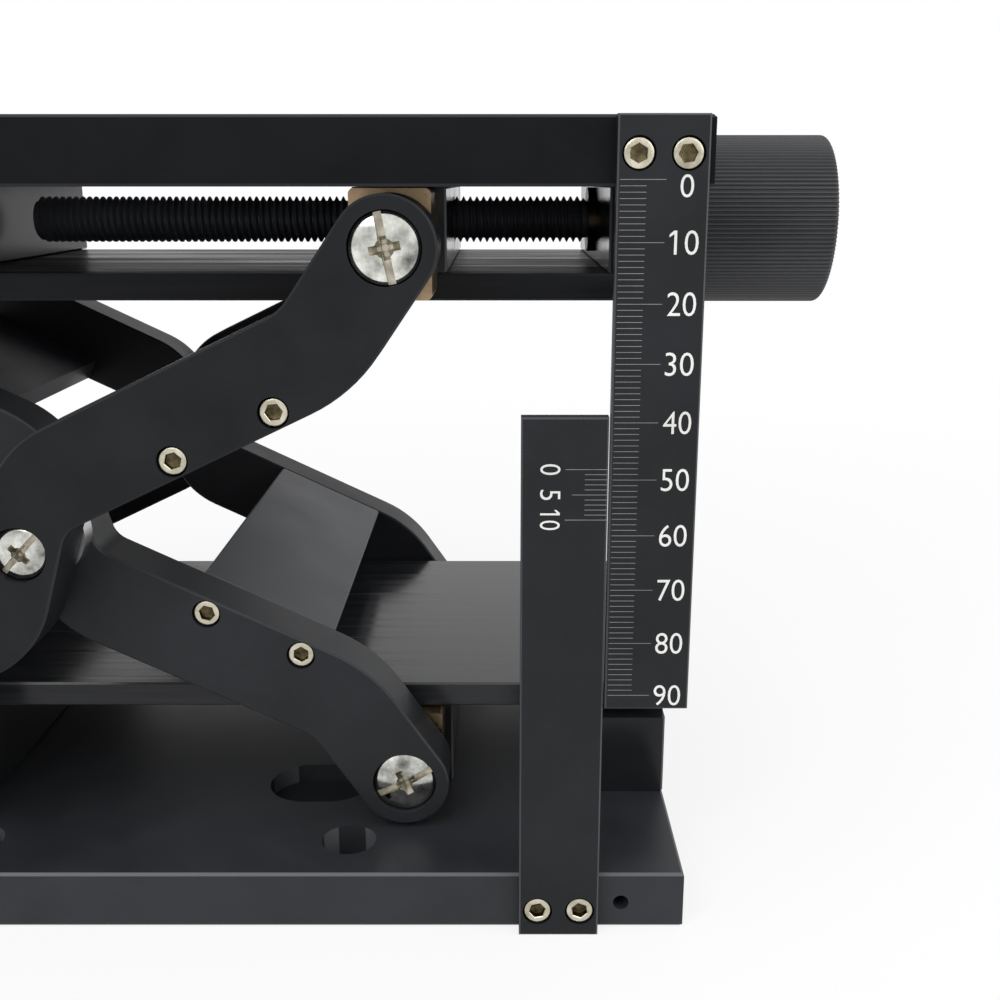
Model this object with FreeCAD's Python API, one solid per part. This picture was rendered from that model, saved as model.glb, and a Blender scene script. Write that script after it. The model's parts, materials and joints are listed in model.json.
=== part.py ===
import FreeCAD, Part
import math
import os

# Vertical lifting stage: a scissor lift between two plates, raised by a lead screw with a knob.
# Millimetres. X runs towards the knob, Y towards the back, Z up.
# The origin is the centre of the base plate's underside. The stage stands at scale_reading.

# Plates
plate_length = 206.0
plate_width = 150.0
plate_thickness = 11.4
plate_chamfer = 0.5

# Height of the stage
closed_gap = 78.9  # between the plates at reading 0
scale_reading = 48.15
lowest_reading = 1.6

# Pivots
arm_span = 170.7  # from end pivot to end pivot
pivot_offset = 10.0  # from each plate's inner face
fixed_pivot_inset = 18.5  # from the plates' left ends

# Arms
arm_thickness = 12.0
arm_band = 18.0
arm_tilt = 13.3  # degrees between the middle stretch and the pivot line
arm_bend = 30.0  # degrees at each elbow
shoulder_reach = 9.7  # from the hub's centre to the hollow corner between an arm's halves
shoulder_angle = 48.0  # degrees between a shoulder and the middle stretch
shoulder_radius = 20.0
shoulder_fillet = 5.0
elbow_outer_radius = 30.0
elbow_inner_radius = 9.0
arm_chamfer = 0.4
outer_arm_inset = 0.3  # behind the plates' front faces
arm_plane_gap = 4.5  # between an outer arm and the inner arm beside it

# Pivot hardware
pivot_screw_radius = 3.0
pivot_head_radius = 6.15
pivot_head_height = 3.0
pivot_head_dome = 0.9
sleeve_radius = 4.0
centre_screw_radius = 2.5
centre_head_radius = 4.85
centre_head_height = 2.8
counterbore_clearance = 0.25  # beside a screw head
head_recess = 0.5  # from a sunk head's top to the face around it
running_fit = 0.05  # radial, between a sleeve or shaft and its bore
running_gap = 0.1  # axial, beside each arm
washer_thickness = 0.4
washer_radius = 8.0
pivot_thread_depth = 14.0
thread_fit = 0.03  # radial, between a plain shank and its tapped hole

# Cross plates that tie the front and rear arms
cross_plate_length = 29.0
cross_plate_thickness = 5.4
cross_plate_place = 43.2  # from the hub along the middle stretch
cross_screw_spacing = 20.0
cross_screw_edge = 3.1  # from the arm's edge to the screws' centres
cross_thread_depth = 10.0
cross_screw_tip_gap = 2.0  # from a cross plate screw's tip to its hole's end

# Small socket head screws
small_screw_radius = 1.5
small_head_radius = 2.5
small_head_height = 3.0
small_counterbore_radius = 2.8
small_hole_clearance = 0.15

# Slides
lower_slide_gap = 20.1  # height of the end blocks on the base
upper_slide_gap = 16.45  # height of the end blocks under the platform
guide_thickness = 5.2
guide_inset = 3.1  # from the inner arms' pivot washers to the guide plates' edges
end_block_length = 14.2
left_block_length = 62.0
ledge_height = 2.8  # where the lower right block steps in under its guide plate
ledge_inset = 4.0
block_chamfer = 0.4
slider_length = 14.5
slider_height = 19.4
slider_round = 1.0
bar_length = 18.2
slider_side_gap = 0.3  # from an upper slider to the guide plate's edge
lower_slider_reach = 5.0  # how far a lower slider passes under its guide plate's edge
slide_clearance = 0.2  # over and under a slide bar

# Screws through the end blocks
block_screw_radius = 2.5
block_head_radius = 4.25
block_head_height = 5.0
block_screw_bite = 4.0  # into the guide plate
block_screw_row = 30.0  # from the centre plane
block_screw_clearance = 0.25

# Lead screw and knob
lead_radius = 5.0
lead_axis_drop = 7.5  # under the platform plate
lead_free_end = 67.0  # from the platform's left end to the screw's tip
lead_chamfer = 1.0
journal_radius = 4.0
bush_radius = 6.0
bush_flange_radius = 7.0
bush_flange = 1.5
lead_end_play = 0.2
nut_radius = 6.5
nut_flange_radius = 7.2
nut_flange = 2.5
nut_play = 0.06  # radial, between the screw's crests and the nut
knob_radius = 18.2
knob_length = 34.8
knob_round = 1.0
knob_bore_depth = 26.0
knob_dish_radius = 11.6
knob_dish_depth = 1.5
set_screw_radius = 2.0
set_screw_length = 8.0
set_screw_inset = 8.0  # from the knob's inner face

# Scale plates
rule_width = 15.0
rule_thickness = 3.0
rule_relief = 0.3  # milled off the back, to pass the other plate
rule_chamfer = 0.3
rule_gap = 0.3  # between the two scale plates
ruler_inset = 1.3  # from the plates' right ends
ruler_foot_gap = 0.35  # under the ruler at the lowest reading
vernier_foot_gap = 0.1
vernier_length = 100.4
rule_screw_spacing = 8.0
rule_screw_rise = 5.25  # over each plate's underside
rule_screw_head_height = 1.8
rule_screw_length = 8.0
spare_hole_inset = 12.0  # from the base's right end
spare_hole_depth = 8.0

# Holes in the plates
table_hole_radius = 3.3
table_counterbore_radius = 5.5
table_counterbore_depth = 6.5
table_spacing_x = 75.0
table_spacing_y = 125.0
tapped_radius = 2.5
tapped_pitch = 25.0
tapped_columns = 3
tapped_rows = 3
corner_spacing_x = 150.0
corner_spacing_y = 100.0
pocket_length = 22.0
pocket_width = 17.0
pocket_depth = 4.0
pocket_x = 28.5
pocket_y = 38.7

# Places that follow from the sizes above
gap = closed_gap + scale_reading
platform_z = plate_thickness + gap
stage_height = platform_z + plate_thickness
right_x = plate_length / 2
left_x = -right_x
front_y = -plate_width / 2
arm_angle = math.degrees(math.asin((gap - 2 * pivot_offset) / arm_span))
fixed_x = left_x + fixed_pivot_inset
sliding_x = fixed_x + arm_span * math.cos(math.radians(arm_angle))
hub_x = (fixed_x + sliding_x) / 2
hub_z = plate_thickness + gap / 2
low_pivot_z = plate_thickness + pivot_offset
high_pivot_z = platform_z - pivot_offset
outer_face = plate_width / 2 - outer_arm_inset
outer_back = outer_face - arm_thickness
inner_face = outer_back - arm_plane_gap
inner_back = inner_face - arm_thickness
outer_seat = outer_back - running_gap - washer_thickness
inner_seat = inner_back - running_gap - washer_thickness
lead_z = platform_z - lead_axis_drop
bearing_left_x = right_x - end_block_length
guide_half = inner_seat - guide_inset
upper_bar_end = guide_half + slider_side_gap
lower_bar_end = guide_half - lower_slider_reach
sleeve_bore = sleeve_radius + running_fit

tolerance = 1e-4  # for lengths that count as equal
ahead = FreeCAD.Vector(1, 0, 0)
back = FreeCAD.Vector(0, 1, 0)
up = FreeCAD.Vector(0, 0, 1)


def point(x, y, z):
    return FreeCAD.Vector(x, y, z)


def block(x0, x1, y0, y1, z0, z1):
    return Part.makeBox(x1 - x0, y1 - y0, z1 - z0, point(x0, y0, z0))


def rod(radius, start, direction, length):
    return Part.makeCylinder(radius, length, start, direction)


def fuse_all(shapes):
    return shapes[0].multiFuse(shapes[1:]).removeSplitter()


def cut_all(shape, tools):
    return shape.cut(Part.makeCompound(tools))


def mirrored_y(shape):
    return shape.mirror(point(0, 0, 0), back)


def pair(shape):
    return [shape, mirrored_y(shape)]


def edges_on(shape, axis, value):
    # edges that lie wholly in one plane across the given axis
    found = []
    for edge in shape.Edges:
        box = edge.BoundBox
        low = getattr(box, axis + "Min")
        high = getattr(box, axis + "Max")
        if abs(low - value) < tolerance and abs(high - value) < tolerance:
            found.append(edge)
    return found


def chamfered(shape, size, axis, values):
    edges = []
    for value in values:
        edges += edges_on(shape, axis, value)
    return shape.makeChamfer(size, edges)


def save(node, shapes):
    solids = []
    for shape in shapes:
        solids += shape.Solids
    whole = solids[0] if len(solids) == 1 else Part.makeCompound(solids)
    whole.exportStep("parts/" + node + ".step")
    print(node, len(solids), round(whole.Volume, 1))


def rounded_face(corners):
    # a flat face in the XZ plane from corners (x, z, radius), with straight runs between their arcs
    count = len(corners)
    starts, arcs, ends = [], [], []
    for index in range(count):
        x, z, radius = corners[index]
        here = point(x, 0, z)
        before = point(corners[index - 1][0], 0, corners[index - 1][1])
        after = point(corners[(index + 1) % count][0], 0, corners[(index + 1) % count][1])
        into = (before - here).normalize()
        out = (after - here).normalize()
        half = into.getAngle(out) / 2
        if radius == 0:
            starts.append(here)
            ends.append(here)
            arcs.append(None)
            continue
        run = radius / math.tan(half)
        middle = (into + out).normalize()
        starts.append(here + into * run)
        ends.append(here + out * run)
        arcs.append(here + middle * (radius / math.sin(half) - radius))
    edges = []
    for index in range(count):
        if arcs[index] is not None:
            edges.append(Part.Arc(starts[index], arcs[index], ends[index]).toShape())
        following = starts[(index + 1) % count]
        if ends[index].distanceToPoint(following) > tolerance:
            edges.append(Part.makeLine(ends[index], following))
    return Part.Face(Part.Wire(edges))


def arm_blank():
    # its middle stretch along X, the right half above the hub's centre and the left half below it
    tilt = math.radians(arm_tilt)
    bend = math.radians(arm_bend)
    end_x = arm_span / 2 * math.cos(tilt)
    end_z = arm_span / 2 * math.sin(tilt)
    half_band = arm_band / 2
    along_x, along_z = math.cos(bend), math.sin(bend)
    low_x, low_z = end_x + along_z * half_band, end_z - along_x * half_band
    high_x, high_z = end_x - along_z * half_band, end_z + along_x * half_band
    elbow_low_x = low_x - low_z / math.tan(bend)
    elbow_high_x = high_x - (high_z - arm_band) / math.tan(bend)
    tip_x, tip_z = along_x * half_band, along_z * half_band
    shoulder_x = arm_band / math.tan(math.radians(shoulder_angle)) - shoulder_reach
    right = [
        (shoulder_reach, 0, shoulder_fillet),
        (elbow_low_x, 0, elbow_outer_radius),
        (low_x + tip_x, low_z + tip_z, half_band),
        (high_x + tip_x, high_z + tip_z, half_band),
        (elbow_high_x, arm_band, elbow_inner_radius),
        (shoulder_x, arm_band, shoulder_radius),
    ]
    left = [(-x, -z, radius) for x, z, radius in right]
    return rounded_face(right + left).extrude(back * arm_thickness)


def cross_screw_places():
    # along and across the middle stretch, on both halves of an arm
    places = []
    for side in (-1, 1):
        for shift in (-cross_screw_spacing / 2, cross_screw_spacing / 2):
            places.append((side * (cross_plate_place + shift), side * cross_screw_edge))
    return places


def stepped_hole(x, z, radius, wide_radius, wide_depth):
    through = rod(radius, point(x, 0, z), back, arm_thickness)
    wide = rod(wide_radius, point(x, 0, z), back, wide_depth)
    return fuse_all([through, wide])


def arm(is_outer):
    # an arm with its outer face at Y 0, its pivot line along X and its hub at the origin
    blank = chamfered(arm_blank(), arm_chamfer, "Y", (0, arm_thickness))
    holes = []
    for x, z in cross_screw_places():
        head_depth = small_head_height + head_recess
        radius = small_screw_radius + small_hole_clearance
        holes.append(stepped_hole(x, z, radius, small_counterbore_radius, head_depth))
    blank = cut_all(blank, holes)
    blank.rotate(point(0, 0, 0), back, arm_tilt)
    bores = []
    wide = pivot_head_radius + counterbore_clearance
    for side in (-1, 1):
        x = side * arm_span / 2
        bores.append(stepped_hole(x, 0, sleeve_bore, wide, pivot_head_height + head_recess))
    if is_outer:
        wide = centre_head_radius + counterbore_clearance
        bores.append(stepped_hole(0, 0, sleeve_bore, wide, centre_head_height + head_recess))
    else:
        bores.append(rod(centre_screw_radius + thread_fit, point(0, 0, 0), back, arm_thickness))
    return cut_all(blank, bores)


def set_outer(shape, face):
    # from the arm's own frame to its place as a front outer arm
    placed = shape.copy()
    placed.rotate(point(0, 0, 0), back, -arm_angle)
    placed.translate(point(hub_x, -face, hub_z))
    return placed


def set_inner(shape, face):
    # the inner arm is the outer one turned over
    placed = shape.mirror(point(0, 0, 0), up)
    placed.rotate(point(0, 0, 0), back, arm_angle)
    placed.translate(point(hub_x, -face, hub_z))
    return placed


def cross_plate(side, arm_back):
    # in the arm's own frame, between the inner sides of a front and a rear arm
    start = cross_plate_place - cross_plate_length / 2
    width = 2 * arm_back
    plate = block(start, start + cross_plate_length, 0, width, 0, cross_plate_thickness)
    edges = edges_on(plate, "Z", 0)
    plate = plate.makeChamfer(arm_chamfer, edges)
    holes = []
    for shift in (-cross_screw_spacing / 2, cross_screw_spacing / 2):
        x = cross_plate_place + shift
        radius = small_screw_radius + thread_fit
        for y in (0, width - cross_thread_depth):
            holes.append(rod(radius, point(x, y, cross_screw_edge), back, cross_thread_depth))
    plate = cut_all(plate, holes)
    if side < 0:
        plate.rotate(point(0, 0, 0), back, 180)
    plate.rotate(point(0, 0, 0), back, arm_tilt)
    return plate


def socket_screw(radius, head_radius, head_height, length):
    # the head's top at Y 0, the shank towards +Y
    head = rod(head_radius, point(0, 0, 0), back, head_height)
    head = chamfered(head, head_radius * 0.1, "Y", (0,))
    shank = rod(radius, point(0, head_height, 0), back, length)
    return fuse_all([head, shank])


def pan_screw(radius, head_radius, head_height, length):
    # a domed head with its underside at Y 0 and the shank towards +Y
    crown = head_height - pivot_head_dome
    rim = point(head_radius, -crown, 0)
    top = point(0, -head_height, 0)
    sphere = (head_radius ** 2 + pivot_head_dome ** 2) / (2 * pivot_head_dome)
    turn = math.asin(head_radius / sphere) / 2
    half_way = point(sphere * math.sin(turn), -head_height + sphere * (1 - math.cos(turn)), 0)
    outline = [
        Part.Arc(top, half_way, rim).toShape(),
        Part.makeLine(rim, point(head_radius, 0, 0)),
        Part.makeLine(point(head_radius, 0, 0), point(radius, 0, 0)),
        Part.makeLine(point(radius, 0, 0), point(radius, length, 0)),
        Part.makeLine(point(radius, length, 0), point(0, length, 0)),
        Part.makeLine(point(0, length, 0), top),
    ]
    return Part.Face(Part.Wire(outline)).revolve(point(0, 0, 0), back, 360).Solids[0]


def ring(outer_radius, inner_radius, start, direction, length):
    tube = rod(outer_radius, start, direction, length)
    return tube.cut(rod(inner_radius, start, direction, length))


def plate(z):
    return chamfered(
        block(left_x, right_x, front_y, -front_y, z, z + plate_thickness),
        plate_chamfer, "Z", (z, z + plate_thickness))


def block_screw_places():
    far = left_x + end_block_length / 2
    near = left_x + left_block_length - end_block_length / 2
    right = right_x - end_block_length / 2
    places = []
    for x in (far, near, right):
        for y in (-block_screw_row, block_screw_row):
            places.append((x, y))
    return places


def slide_gap(direction):
    # direction is 1 on the base and -1 under the platform
    return lower_slide_gap if direction > 0 else upper_slide_gap


def block_screw_depths(direction):
    # how far a block screw's head sinks and how long its shank is
    sink = block_head_height + head_recess
    return sink, plate_thickness - sink + slide_gap(direction) + block_screw_bite


def block_screws(face_z, direction):
    # screws from the plate's outer face at face_z, pointing along direction, which is 1 for up
    sink, length = block_screw_depths(direction)
    screws = []
    for x, y in block_screw_places():
        screw = socket_screw(block_screw_radius, block_head_radius, block_head_height, length)
        screw.rotate(point(0, 0, 0), ahead, 90 * direction)
        screw.translate(point(x, y, face_z + direction * head_recess))
        screws.append(screw)
    return screws


def block_screw_holes(face_z, direction, places):
    # clearance holes and counterbores for the block screws, tapped radius at the guide plate
    sink, length = block_screw_depths(direction)
    reach = plate_thickness + slide_gap(direction)
    axis = up * direction
    holes = []
    for x, y in places:
        start = point(x, y, face_z)
        tapped = block_screw_radius + thread_fit
        clear = block_screw_radius + block_screw_clearance
        holes.append(rod(block_head_radius + counterbore_clearance, start, axis, sink))
        holes.append(rod(clear, start, axis, reach))
        holes.append(rod(tapped, start, axis, sink + length))
    return holes


def base_plate():
    tools = block_screw_holes(0, 1, block_screw_places())
    for x in (-table_spacing_x / 2, table_spacing_x / 2):
        for y in (-table_spacing_y / 2, table_spacing_y / 2):
            tools.append(rod(table_hole_radius, point(x, y, 0), up, plate_thickness))
            floor = plate_thickness - table_counterbore_depth
            tools.append(rod(table_counterbore_radius, point(x, y, floor), up, plate_thickness))
    tools += pair(pocket())
    for x in rule_screw_xs(vernier_x()):
        radius = small_screw_radius + thread_fit
        tools.append(rod(radius, point(x, front_y, rule_screw_rise), back, rule_screw_length))
    spare = point(right_x - spare_hole_inset, front_y, rule_screw_rise)
    tools.append(rod(small_screw_radius, spare, back, spare_hole_depth))
    return cut_all(plate(0), tools)


def pocket():
    floor = plate_thickness - pocket_depth
    radius = pocket_width / 2
    reach = pocket_length / 2 - radius
    middle = block(-reach, reach, -radius, radius, floor, plate_thickness)
    ends = [rod(radius, point(x, 0, floor), up, pocket_depth) for x in (-reach, reach)]
    shape = fuse_all([middle] + ends)
    shape.translate(point(pocket_x, -pocket_y, 0))
    return shape


def platform_plate():
    tools = block_screw_holes(stage_height, -1, block_screw_places())
    for column in range(tapped_columns):
        for row in range(tapped_rows):
            x = (column - (tapped_columns - 1) / 2) * tapped_pitch
            y = (row - (tapped_rows - 1) / 2) * tapped_pitch
            tools.append(rod(tapped_radius, point(x, y, platform_z), up, plate_thickness))
    for x in (-corner_spacing_x / 2, corner_spacing_x / 2):
        for y in (-corner_spacing_y / 2, corner_spacing_y / 2):
            tools.append(rod(tapped_radius, point(x, y, platform_z), up, plate_thickness))
    for x in rule_screw_xs(ruler_x()):
        radius = small_screw_radius + thread_fit
        z = platform_z + rule_screw_rise
        tools.append(rod(radius, point(x, front_y, z), back, rule_screw_length))
    return cut_all(plate(platform_z), tools)


def guide_plate(z, face_z, direction):
    shape = chamfered(
        block(left_x, right_x, -guide_half, guide_half, z, z + guide_thickness),
        block_chamfer, "Z", (z, z + guide_thickness))
    return cut_all(shape, block_screw_holes(face_z, direction, block_screw_places()))


def left_block(z, face_z, direction, half_width, pivot_z):
    # carries the fixed pivots on its two ends
    top = z + slide_gap(direction)
    shape = block(left_x, left_x + left_block_length, -half_width, half_width, z, top)
    shape = chamfered(shape, block_chamfer, "X", (left_x, left_x + left_block_length))
    tools = block_screw_holes(face_z, direction, block_screw_places())
    hole = rod(
        pivot_screw_radius + thread_fit,
        point(fixed_x, -half_width, pivot_z), back, pivot_thread_depth)
    return cut_all(shape, tools + pair(hole))


def right_block(z, face_z, direction):
    top = z + slide_gap(direction)
    shape = block(bearing_left_x, right_x, -guide_half, guide_half, z, top)
    shape = chamfered(shape, block_chamfer, "X", (bearing_left_x, right_x))
    return cut_all(shape, block_screw_holes(face_z, direction, block_screw_places()))


def lower_right_block():
    top = plate_thickness + lower_slide_gap
    step = block(
        bearing_left_x, right_x, -guide_half, -guide_half + ledge_inset, top - ledge_height, top)
    return cut_all(right_block(plate_thickness, 0, 1), pair(step))


def bearing_block():
    shape = right_block(platform_z - upper_slide_gap, stage_height, -1)
    bore = rod(bush_radius, point(bearing_left_x, 0, lead_z), ahead, end_block_length)
    return shape.cut(bore)


def screw_bushes():
    # two flanged bushes, one from each side of the bearing block
    half = end_block_length / 2
    bushes = []
    for x, way in ((bearing_left_x, 1), (right_x, -1)):
        start = point(x, 0, lead_z)
        barrel = rod(bush_radius, start, ahead * way, half)
        flange = rod(bush_flange_radius, start, ahead * -way, bush_flange)
        bore = rod(
            journal_radius + running_fit,
            start - ahead * (way * bush_flange), ahead * way, half + bush_flange)
        bushes.append(fuse_all([barrel, flange]).cut(bore))
    return bushes


def end_pivot(x, z, face, seat, thread_end):
    # screw, sleeve and washer of one front end pivot; the screw reaches to thread_end
    floor = face - pivot_head_height - head_recess
    under_head = floor + running_gap
    screw = pan_screw(
        pivot_screw_radius, pivot_head_radius, pivot_head_height, under_head - thread_end)
    screw.translate(point(x, -under_head, z))
    bore = pivot_screw_radius + thread_fit
    sleeve = ring(sleeve_radius, bore, point(x, -under_head, z), back, under_head - seat)
    washer = ring(
        washer_radius, sleeve_radius, point(x, -seat - washer_thickness, z), back,
        washer_thickness)
    return screw, sleeve, washer


def save_end_pivots(name, x, z, face, seat, thread_end):
    screw, sleeve, washer = end_pivot(x, z, face, seat, thread_end)
    save(name + "_pivot_screws", pair(screw))
    save(name + "_pivot_sleeves", pair(sleeve))
    save(name + "_pivot_washers", pair(washer))


def centre_pivot():
    # screw, sleeve and spacer of the front centre pivot; the screw is held in the inner arm
    under_head = outer_face - centre_head_height - head_recess + running_gap
    seat = inner_face
    screw = pan_screw(
        centre_screw_radius, centre_head_radius, centre_head_height, under_head - inner_back)
    screw.translate(point(hub_x, -under_head, hub_z))
    bore = centre_screw_radius + thread_fit
    sleeve = ring(sleeve_radius, bore, point(hub_x, -under_head, hub_z), back, under_head - seat)
    thickness = arm_plane_gap - running_gap
    spacer = ring(
        washer_radius, sleeve_radius, point(hub_x, -seat - thickness, hub_z), back, thickness)
    return screw, sleeve, spacer


def slider(x, pivot_z, seat, bar_end):
    # a bronze block from the arm's washer to the end of the slide bar
    half = slider_length / 2
    low = pivot_z - slider_height / 2
    shape = block(x - half, x + half, -seat, -bar_end, low, low + slider_height)
    long_edges = []
    for edge in shape.Edges:
        if edge.BoundBox.YLength > seat - bar_end - tolerance:
            long_edges.append(edge)
    shape = shape.makeFillet(slider_round, long_edges)
    hole = rod(pivot_screw_radius + thread_fit, point(x, -seat, pivot_z), back, seat - bar_end)
    return shape.cut(hole)


def slide_bar(x, z, height, pivot_z, bar_end):
    # runs between a plate and its guide plate, with tapped ends for the pivot screws
    half = bar_length / 2
    shape = block(
        x - half, x + half, -bar_end, bar_end, z + slide_clearance, z + height - slide_clearance)
    shape = chamfered(shape, block_chamfer, "X", (x - half, x + half))
    hole = rod(
        pivot_screw_radius + thread_fit, point(x, -bar_end, pivot_z), back, pivot_thread_depth)
    return cut_all(shape, pair(hole))


def nut_bar():
    z = platform_z - upper_slide_gap
    shape = slide_bar(sliding_x, z, upper_slide_gap, high_pivot_z, upper_bar_end)
    half = bar_length / 2
    return shape.cut(rod(nut_radius, point(sliding_x - half, 0, lead_z), ahead, bar_length))


def lead_nut():
    half = bar_length / 2
    barrel = rod(nut_radius, point(sliding_x - half, 0, lead_z), ahead, bar_length)
    flange = rod(nut_flange_radius, point(sliding_x - half, 0, lead_z), ahead * -1, nut_flange)
    bore_start = point(sliding_x - half - nut_flange, 0, lead_z)
    bore = rod(lead_radius + nut_play, bore_start, ahead, bar_length + nut_flange)
    return fuse_all([barrel, flange]).cut(bore)


def lead_screw():
    tip_x = left_x + lead_free_end
    shoulder_x = bearing_left_x - bush_flange - lead_end_play
    thread = rod(lead_radius, point(tip_x, 0, lead_z), ahead, shoulder_x - tip_x)
    thread = chamfered(thread, lead_chamfer, "X", (tip_x,))
    journal_end = knob_left_x() + knob_bore_depth
    journal = rod(journal_radius, point(shoulder_x, 0, lead_z), ahead, journal_end - shoulder_x)
    return fuse_all([thread, journal])


def knob_left_x():
    return right_x + bush_flange + lead_end_play


def knob():
    x = knob_left_x()
    shape = rod(knob_radius, point(x, 0, lead_z), ahead, knob_length)
    shape = shape.makeFillet(knob_round, edges_on(shape, "X", x) + edges_on(shape, "X", x + knob_length))
    bore = rod(journal_radius + thread_fit, point(x, 0, lead_z), ahead, knob_bore_depth)
    dish_x = x + knob_length - knob_dish_depth
    dish = rod(knob_dish_radius, point(dish_x, 0, lead_z), ahead, knob_dish_depth)
    radial = rod(
        set_screw_radius + thread_fit,
        point(x + set_screw_inset, 0, lead_z - knob_radius), up, knob_radius)
    return cut_all(shape, [bore, dish, radial])


def set_screw():
    x = knob_left_x() + set_screw_inset
    top = lead_z - journal_radius - thread_fit
    return rod(set_screw_radius, point(x, 0, top - set_screw_length), up, set_screw_length)


def ruler_x():
    return right_x - ruler_inset - rule_width


def vernier_x():
    return ruler_x() - rule_gap - rule_width


def rule_screw_xs(x):
    middle = x + rule_width / 2
    return (middle - rule_screw_spacing / 2, middle + rule_screw_spacing / 2)


def scale_plate(x, low_z, high_z, pad_low, pad_high, screw_z):
    # full thickness at the pad that meets its plate, relieved behind elsewhere
    shape = block(x, x + rule_width, front_y - rule_thickness, front_y, low_z, high_z)
    shape = chamfered(shape, rule_chamfer, "Y", (front_y - rule_thickness,))
    tools = []
    for z0, z1 in ((low_z, pad_low), (pad_high, high_z)):
        if z1 > z0:
            tools.append(block(x, x + rule_width, front_y - rule_relief, front_y, z0, z1))
    for screw_x in rule_screw_xs(x):
        start = point(screw_x, front_y - rule_thickness, screw_z)
        head_depth = rule_screw_head_height + head_recess / 2
        tools.append(rod(small_counterbore_radius, start, back, head_depth))
        radius = small_screw_radius + small_hole_clearance
        tools.append(rod(radius, start, back, rule_thickness))
    return cut_all(shape, tools)


def ruler():
    low = scale_reading - lowest_reading + ruler_foot_gap
    screw_z = platform_z + rule_screw_rise
    return scale_plate(ruler_x(), low, stage_height, platform_z, stage_height, screw_z)


def vernier_plate():
    high = vernier_foot_gap + vernier_length
    return scale_plate(
        vernier_x(), vernier_foot_gap, high, vernier_foot_gap, plate_thickness, rule_screw_rise)


def rule_screws(x, z):
    screws = []
    shank = rule_screw_length - rule_thickness
    for screw_x in rule_screw_xs(x):
        screw = socket_screw(small_screw_radius, small_head_radius, rule_screw_head_height, shank)
        screw.translate(point(screw_x, front_y - rule_thickness + head_recess / 2, z))
        screws.append(screw)
    return screws


def cross_screws():
    # the cross plate screws of one front arm, in the arm's own frame
    screws = []
    depth = arm_thickness - head_recess + cross_thread_depth
    length = depth - small_head_height - cross_screw_tip_gap
    for x, z in cross_screw_places():
        screw = socket_screw(small_screw_radius, small_head_radius, small_head_height, length)
        screw.translate(point(x, head_recess, z))
        screw.rotate(point(0, 0, 0), back, arm_tilt)
        screws.append(screw)
    return screws


os.makedirs("parts", exist_ok=True)

# Base
save("base_plate", [base_plate()])
save("lower_left_block", [left_block(plate_thickness, 0, 1, outer_seat, low_pivot_z)])
save("lower_right_block", [lower_right_block()])
save("lower_guide_plate", [guide_plate(plate_thickness + lower_slide_gap, 0, 1)])
save("lower_block_screws", block_screws(0, 1))
save("vernier_plate", [vernier_plate()])
save("vernier_screws", rule_screws(vernier_x(), rule_screw_rise))
save_end_pivots(
    "lower_fixed", fixed_x, low_pivot_z, outer_face, outer_seat, outer_seat - pivot_thread_depth)

# Platform
save("platform_plate", [platform_plate()])
upper_block_z = platform_z - upper_slide_gap
save("upper_left_block", [left_block(upper_block_z, stage_height, -1, inner_seat, high_pivot_z)])
save("bearing_block", [bearing_block()])
save("upper_guide_plate", [guide_plate(upper_block_z - guide_thickness, stage_height, -1)])
save("upper_block_screws", block_screws(stage_height, -1))
save("ruler", [ruler()])
save("ruler_screws", rule_screws(ruler_x(), platform_z + rule_screw_rise))
save("screw_bushes", screw_bushes())
save_end_pivots(
    "upper_fixed", fixed_x, high_pivot_z, inner_face, inner_seat, inner_seat - pivot_thread_depth)

# Outer arms
front_outer = set_outer(arm(True), outer_face)
save("front_outer_arm", [front_outer])
save("rear_outer_arm", [mirrored_y(front_outer)])
save("outer_upper_cross_plate", [set_outer(cross_plate(1, outer_back), outer_back)])
save("outer_lower_cross_plate", [set_outer(cross_plate(-1, outer_back), outer_back)])
outer_screws = [set_outer(screw, outer_face) for screw in cross_screws()]
save("outer_cross_screws", outer_screws + [mirrored_y(screw) for screw in outer_screws])

# Inner arms
front_inner = set_inner(arm(False), inner_face)
save("front_inner_arm", [front_inner])
save("rear_inner_arm", [mirrored_y(front_inner)])
save("inner_lower_cross_plate", [set_inner(cross_plate(1, inner_back), inner_back)])
save("inner_upper_cross_plate", [set_inner(cross_plate(-1, inner_back), inner_back)])
inner_screws = [set_inner(screw, inner_face) for screw in cross_screws()]
save("inner_cross_screws", inner_screws + [mirrored_y(screw) for screw in inner_screws])
centre_screw, centre_sleeve, centre_spacer = centre_pivot()
save("centre_pivot_screws", pair(centre_screw))
save("centre_pivot_sleeves", pair(centre_sleeve))
save("centre_pivot_spacers", pair(centre_spacer))

# Lower slide
lower_slider = slider(sliding_x, low_pivot_z, inner_seat, lower_bar_end)
save("front_lower_slider", [lower_slider])
save("rear_lower_slider", [mirrored_y(lower_slider)])
save("lower_slide_bar", [slide_bar(
    sliding_x, plate_thickness, lower_slide_gap, low_pivot_z, lower_bar_end)])
save_end_pivots(
    "lower_sliding", sliding_x, low_pivot_z, inner_face, inner_seat,
    lower_bar_end - pivot_thread_depth)

# Upper slide
upper_slider = slider(sliding_x, high_pivot_z, outer_seat, upper_bar_end)
save("front_upper_slider", [upper_slider])
save("rear_upper_slider", [mirrored_y(upper_slider)])
save("nut_bar", [nut_bar()])
save("lead_nut", [lead_nut()])
save_end_pivots(
    "upper_sliding", sliding_x, high_pivot_z, outer_face, outer_seat,
    upper_bar_end - pivot_thread_depth)

# Drive
save("lead_screw", [lead_screw()])
save("knob", [knob()])
save("knob_set_screw", [set_screw()])
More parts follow.
